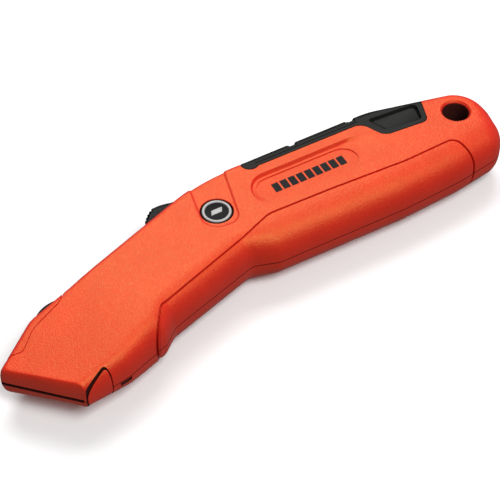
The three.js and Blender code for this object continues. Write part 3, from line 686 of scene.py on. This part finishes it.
for spot in (BADGE, TAIL_SCREW):
    cuts.append(rod(SCREW["bore"], spot["x"], spot["y"], -FAR, 5.4))
    recess = [(SCREW["head"] + 1.1, -OUTSIDE), (SCREW["head"] + 1.1, -9.4), (SCREW["head"] + GAP, -8.8),
              (SCREW["head"] + GAP, screw_seat(spot["x"], spot["y"]))]
    cuts.append(turned(recess, spot["x"], spot["y"]))
cuts.append(prism(BELLY_SLIT, *BELLY_SLIT_Z))
cut(shells, *cuts)

outside = BVHTree.FromPolygons([v.co for v in body.data.vertices], [p.vertices for p in body.data.polygons])


def paint_outside(shell):
    """Paints a shell, and gives painted shade, a dark brown-red, to every face that lies deeper than a set depth
    below the outside.
    """
    shell.data.materials.clear()
    shell.data.materials.append(paint)
    shell.data.materials.append(inner)
    for face in shell.data.polygons:
        face.material_index = int(outside.find_nearest(face.center)[3] > PAINTED_SHADE_DEPTH)


left = keep(copy(shells), block((-120, -60, GAP / 2), (120, 60, FAR)))
right = keep(shells, block((-120, -60, -FAR), (120, 60, -GAP / 2)))
for shell, side in ((left, "left"), (right, "right")):
    paint_outside(shell)
    piece(f"{side}_shell_skin", shell, None, "frame", f"{side}_shell")

guide = keep(form(0.05, 0.6, 14), prism(rounded(GUIDE, 0.3), -FAR, FAR))
piece("nose_guide_skin", guide, paint, "frame", "nose_guide")

# Storage door: a skin over the spine with ribbed grips and a sunk finger pad on each side.
door = cut(keep(copy(body), door_zone(0)), form(DOOR_SKIN))
add(door, keep(rod(KNUCKLE_RADIUS, PIN[0], PIN[1], -FAR, FAR), copy(body)))
cut(door,
    block((PIN[0] - 6, 15, -KNUCKLE_HALF - GAP), (PIN[0] + KNUCKLE_RADIUS, 30, KNUCKLE_HALF + GAP)),
    rod(PIN_BORE["radius"], PIN[0], PIN[1], -PIN_BORE["half"], PIN_BORE["half"]))
for start, end in RIB["runs"]:
    for x in np.arange(start + 0.5, end - 0.3, RIB["pitch"]):
        slot = block((x, 21.2, -FAR), (x + RIB["groove"], 40, FAR))
        cut(door, cut(slot, form(RIB["depth"], 3, 6)))
bpy.data.objects.remove(body)
pad_rim = rounded(FINGER_PAD, 0.2)
pad_middle = np.mean(pad_rim, axis=0)


def pad_loft(side, rows):
    """A loft over the finger pad's outline. Each row is a share of the outline in x and y, and a height."""
    rings = []
    for share_x, share_y, z in rows:
        places = [pad_middle + (p - pad_middle) * (share_x, share_y) for p in pad_rim]
        rings.append([(x, y, side * z) for x, y in places])
    return loft(rings)


for side in (1, -1):
    moat = pad_loft(side, [(0.95, 0.88, 8.2), (1, 1, 9.1), (1.01, 1.03, OUTSIDE)])
    panel = pad_loft(side, [(0.9, 0.78, 7), (0.9, 0.78, 8.7), (0.87, 0.7, 8.9)])
    cut(door, cut(moat, panel))
for start, end in DIP["runs"]:
    dip = prism([(start, 40), (start, 22), (start + DIP["slope"], 20.6), (end - DIP["slope"], 20.6), (end, 22),
                 (end, 40)], -FAR, FAR)
    cut(door, cut(dip, form(DIP["depth"], 3, 8)))
cut(door, *groove(rounded(DOOR_LINE, closed=False), [(0.14, 0.14, 0.35)]))
piece("storage_door_skin", door, black, "door", "storage_door")


# ---- Small pieces ----
def rounded_prism(outline, half, edge):
    """A prism across the knife, over an outline in the nose's axes, with rounded edges on both faces."""
    outline = np.array(outline, float)
    step = np.roll(outline, -1, axis=0) - np.roll(outline, 1, axis=0)
    step /= np.linalg.norm(step, axis=1)[:, None]
    inwards = np.column_stack([-step[:, 1], step[:, 0]])
    rings = []
    for side, angles in ((-1, (90, 60, 30, 0)), (1, (0, 30, 60, 90))):
        for angle in angles:
            a = math.radians(angle)
            places = nose_points(outline + inwards * edge * (1 - math.cos(a)))
            rings.append([(x, y, side * (half - edge * (1 - math.sin(a)))) for x, y in places])
    return loft(rings)


# Badge: a black enamel disc in the recess, a half-round silver ring and a plain slanted bar.
badge_x, badge_y = BADGE["x"], BADGE["y"]
disc_profile = [(0, BADGE["floor"] + 0.2), (BADGE["disc"], BADGE["floor"] + 0.2), (BADGE["disc"], 8.6),
                (BADGE["disc"] - 0.12, 8.78), (BADGE["disc"] - 0.3, 8.85), (0, 8.87)]
disc = turned(disc_profile, badge_x, badge_y, 96)
piece("badge_disc_skin", disc, enamel, "frame", "badge_disc")
middle = (BADGE["ring"] + BADGE["bore"]) / 2
half_width = (BADGE["ring"] - BADGE["bore"]) / 2
ring_profile = [(middle - half_width, 8.8)]
for a in np.linspace(0, math.pi, 9):
    ring_profile.append((middle - half_width * math.cos(a), 8.95 + 0.28 * math.sin(a)))
ring_profile.append((middle + half_width, 8.8))
badge_ring = loft(turned_rings(ring_profile, badge_x, badge_y, 96), capped=False)
piece("badge_ring_skin", badge_ring, silver, "frame", "badge_ring")
mark_outline = [(-2.1, -0.8), (1.3, -0.8), (2.1, 0.8), (-1.3, 0.8)]
mark = loft([[(badge_x + x * share, badge_y + y * share, z) for x, y in mark_outline]
             for share, z in ((1, 8.8), (1, 9.05), (0.9, 9.12))])
piece("badge_mark_skin", mark, silver, "frame", "badge_emblem")

# Plain printed bars on the name plate, in place of a name.
bar_low = BARS["y"] - BARS["height"] / 2
bar_high = BARS["y"] + BARS["height"] / 2
for i in range(BARS["count"]):
    x0 = BARS["left"] + i * BARS["pitch"]
    x1 = x0 + BARS["width"]
    outline = [(x0, bar_low), (x1, bar_low), (x1 + BARS["lean"], bar_high), (x0 + BARS["lean"], bar_high)]
    bar = prism(outline, lambda x, y: plate_floor(x, y) - 0.1, lambda x, y: plate_floor(x, y) + 0.05)
    piece(f"name_bar_{i + 1}", bar, ink, "frame")

# Slider: a humped cap, ribbed towards the nose, on its neck.
cap_outline = [(u - SLIDER_FORWARD, SLIDER["low"] + (v - SLIDER["low"]) * SLIDER_RISE)
               for u, v in rounded(SLIDER_CAP, 0.12)]
cap = rounded_prism(cap_outline, SLIDER["half"], 0.45)
neck = nose_block((SLIDER["neck_front"], SLIDER["neck_low"], -SLIDER["neck_half"]),
                  (SLIDER["neck_back"], SLIDER["low"] + 0.5, SLIDER["neck_half"]))
piece("slider_button_skin", add(cap, neck), black, "thumb", "slider_button")

# Release button: a domed bar, hollow below for its spring.
release_middle = (RELEASE["front"] + RELEASE["back"]) / 2
dome = [(u, RELEASE["high"] - RELEASE["dome"] + math.sqrt(RELEASE["dome"] ** 2 - (u - release_middle) ** 2))
        for u in np.linspace(RELEASE["back"], RELEASE["front"], 30)]
button = rounded_prism([(RELEASE["front"], RELEASE["low"]), (RELEASE["back"], RELEASE["low"])] + dome,
                       RELEASE["half"], 0.5)
room_axis = Vector((*nose_points([(release_middle, RELEASE["low"] - 1)])[0], 0))
room = turned([(1.9, 0), (1.9, 4.9)], 0, 0)
room.data.transform(Matrix.Translation(room_axis) @ Matrix.Rotation(NOSE_ANGLE, 4, "Z") @
                    Matrix.Rotation(-math.pi / 2, 4, "X"))
piece("release_button_skin", cut(button, room), black, "release", "release_button")


# Blades: trapezoids with ground bevels along the edge, two notches and a hole.
def blade_shape(place):
    """A blade about its own centre, moved by place. The lower edge is ground from both sides."""
    half, back = BLADE["length"] / 2, BLADE["back"] / 2
    low_v, high_v = -BLADE["height"] / 2, BLADE["height"] / 2
    full = BLADE["thickness"] / 2
    lean = (half - back) / BLADE["height"]
    rings = []
    for v, thick in ((low_v, 0.01), (low_v + 0.35, 0.06), (low_v + 3.2, full), (high_v, full)):
        reach = half - lean * (v - low_v)
        rings.append([(-reach, v, -thick), (reach, v, -thick), (reach, v, thick), (-reach, v, thick)])
    blade = loft(rings)
    for u in (-5, 5):
        blade = cut(blade, block((u - 1.4, high_v - 2.2, -1), (u + 1.4, high_v + 1, 1)))
    cut(blade, rod(BLADE["hole"], 0, 0, -1, 1, 48))
    blade.data.transform(place)
    return blade


blade_middle = BLADE["setback"] + BLADE["length"] / 2
in_nose = Matrix.Translation(Vector((*NOSE_ORIGIN, 0))) @ Matrix.Rotation(NOSE_ANGLE, 4, "Z")
blade = blade_shape(in_nose @ Matrix.Translation(Vector((blade_middle, 0, 0))))
piece("blade_skin", blade, steel, "carriage", "blade")
for i, layer in enumerate((-1, 0, 1)):
    place = Matrix.Translation(Vector((SPARE["x"], SPARE["y"], layer * SPARE["pitch"])))
    name = f"spare_blade_{i + 1}"
    piece(f"{name}_skin", blade_shape(place), steel, "frame", name)


# Screws: domed heads with a cross recess, on shanks.
def screw_shape(x, y):
    head_low = screw_seat(x, y) - SCREW["depth"]
    head_high = head_low + SCREW["depth"] - GAP
    head = SCREW["head"]
    profile = [(head * math.sin(a), head_low + 0.75 * (1 - math.cos(a)))
               for a in np.linspace(0, math.pi / 2, 8)]
    profile += [(head, head_high), (SCREW["radius"], head_high), (SCREW["radius"], 4.6),
                (SCREW["radius"] - 0.4, 5)]
    screw = turned(profile, x, y)
    for wide, long in ((0.45, 1.6), (1.6, 0.45)):
        outline = [(-wide, -long), (wide, -long), (wide, long), (-wide, long)]
        slot = loft([[(x + px * k, y + py * k, z) for px, py in outline]
                     for k, z in ((1.05, head_low - 0.5), (0.75, head_low + 1.5))])
        cut(screw, slot)
    return screw


for name, spot in (("main_screw", BADGE), ("tail_screw", TAIL_SCREW)):
    piece(f"{name}_skin", screw_shape(spot["x"], spot["y"]), zinc, "frame", name)


def wire(path, radius, side, sides=10):
    """A round wire along a path; side is a direction across the path's start."""
    path = np.array(path)
    rings = []
    for place, step in zip(path, np.gradient(path, axis=0)):
        step = step / np.linalg.norm(step)
        side = side - step * (side @ step)
        side = side / np.linalg.norm(side)
        up = np.cross(step, side)
        angles = [2 * math.pi * k / sides for k in range(sides)]
        rings.append([place + radius * (side * math.cos(a) + up * math.sin(a)) for a in angles])
    return loft(rings)


def press(spring_piece):
    """Gives a spring piece a mesh of its own."""
    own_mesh(spring_piece)


# Release spring: a coil of round wire under the button.
coil_path = []
for t in np.linspace(0, 1, 161):
    angle = 2 * math.pi * COIL["turns"] * t
    (x, y), = nose_points([(release_middle + COIL["radius"] * math.cos(angle),
                            COIL["low"] + (COIL["high"] - COIL["low"]) * t)])
    coil_path.append((x, y, COIL["radius"] * math.sin(angle)))
coil = wire(coil_path, COIL["wire"], np.array([*NOSE_AXIS, 0]))
coil = piece("release_spring_skin", coil, zinc, "frame", "release_spring")
press(coil)

# Slider spring: an arched leaf under the slider's neck.
arch = [(LEAF["front"] + LEAF["length"] * t, LEAF["low"] + LEAF["rise"] * math.sin(math.pi * t))
        for t in np.linspace(0, 1, 25)]
arch += [(u, v + LEAF["thickness"]) for u, v in reversed(arch)]
leaf = piece("slider_spring_skin", prism(nose_points(arch), -LEAF["half"], LEAF["half"]), zinc, "carriage",
             "slider_spring")
press(leaf)

# These parts keep their shapes and get finished materials.
looks = {"door_latch": zinc, "door_pin": zinc, "front_dowel": zinc, "rear_dowel": zinc, "blade_stud": zinc,
         "blade_clip": zinc, "blade_carrier": grey}
for name, look in looks.items():
    for material_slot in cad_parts[name].material_slots:
        material_slot.material = look

# ---- Camera, floor and light ----
CAMERA = dict(aim=(-4.4, -1.2, 0.5), azimuth=-30, elevation=48, distance=393.7, lens=100.8, sensor=36)
low, high = (np.array(corner) for corner in cad_bounds)
centre = Vector((low + high) / 2)
target = Vector((ORIGIN + CAMERA["aim"]) * MM)
azimuth, elevation = math.radians(CAMERA["azimuth"]), math.radians(CAMERA["elevation"])
back = Vector((math.sin(azimuth) * math.cos(elevation),
               -math.cos(azimuth) * math.cos(elevation),
               math.sin(elevation)))
camera_data = bpy.data.cameras.new("camera")
camera_data.lens = CAMERA["lens"]
camera_data.sensor_width = CAMERA["sensor"]
camera = bpy.data.objects.new("camera", camera_data)
camera.location = target + back * CAMERA["distance"] * MM
camera.rotation_euler = (-back).to_track_quat("-Z", "Y").to_euler()
bpy.context.scene.collection.objects.link(camera)
bpy.context.scene.camera = camera

floor = block((-3, -3, -0.005), (3, 3, 0))
floor.name = "floor"
floor.location.z = float(low[2])
floor.data.materials.append(material("floor", (0.95, 0.95, 0.95), 0.9, Specular_IOR_Level=0.0))
# The floor catches the knife's shadow, but doesn't light the knife from below.
floor.visible_diffuse = False
floor.visible_glossy = False


def area_light(name, place, size, power):
    data = bpy.data.lights.new(name, "AREA")
    data.shape = "RECTANGLE"
    data.size, data.size_y = size
    data.energy = power
    light = bpy.data.objects.new(name, data)
    light.location = place
    light.rotation_euler = (Vector(place) - centre).to_track_quat("Z", "Y").to_euler()
    bpy.context.scene.collection.objects.link(light)


area_light("key", (0.12, -0.45, 0.82), (0.5, 0.5), 6.6)
area_light("sheen", (0.2, 0.52, 0.75), (0.7, 0.4), 6.0)
world = bpy.data.worlds.new("world")
world.use_nodes = True
world.node_tree.nodes["Background"].inputs["Color"].default_value = (1, 1, 1, 1)
world.node_tree.nodes["Background"].inputs["Strength"].default_value = 0.22
bpy.context.scene.world = world
bpy.context.scene.view_settings.view_transform = "Standard"
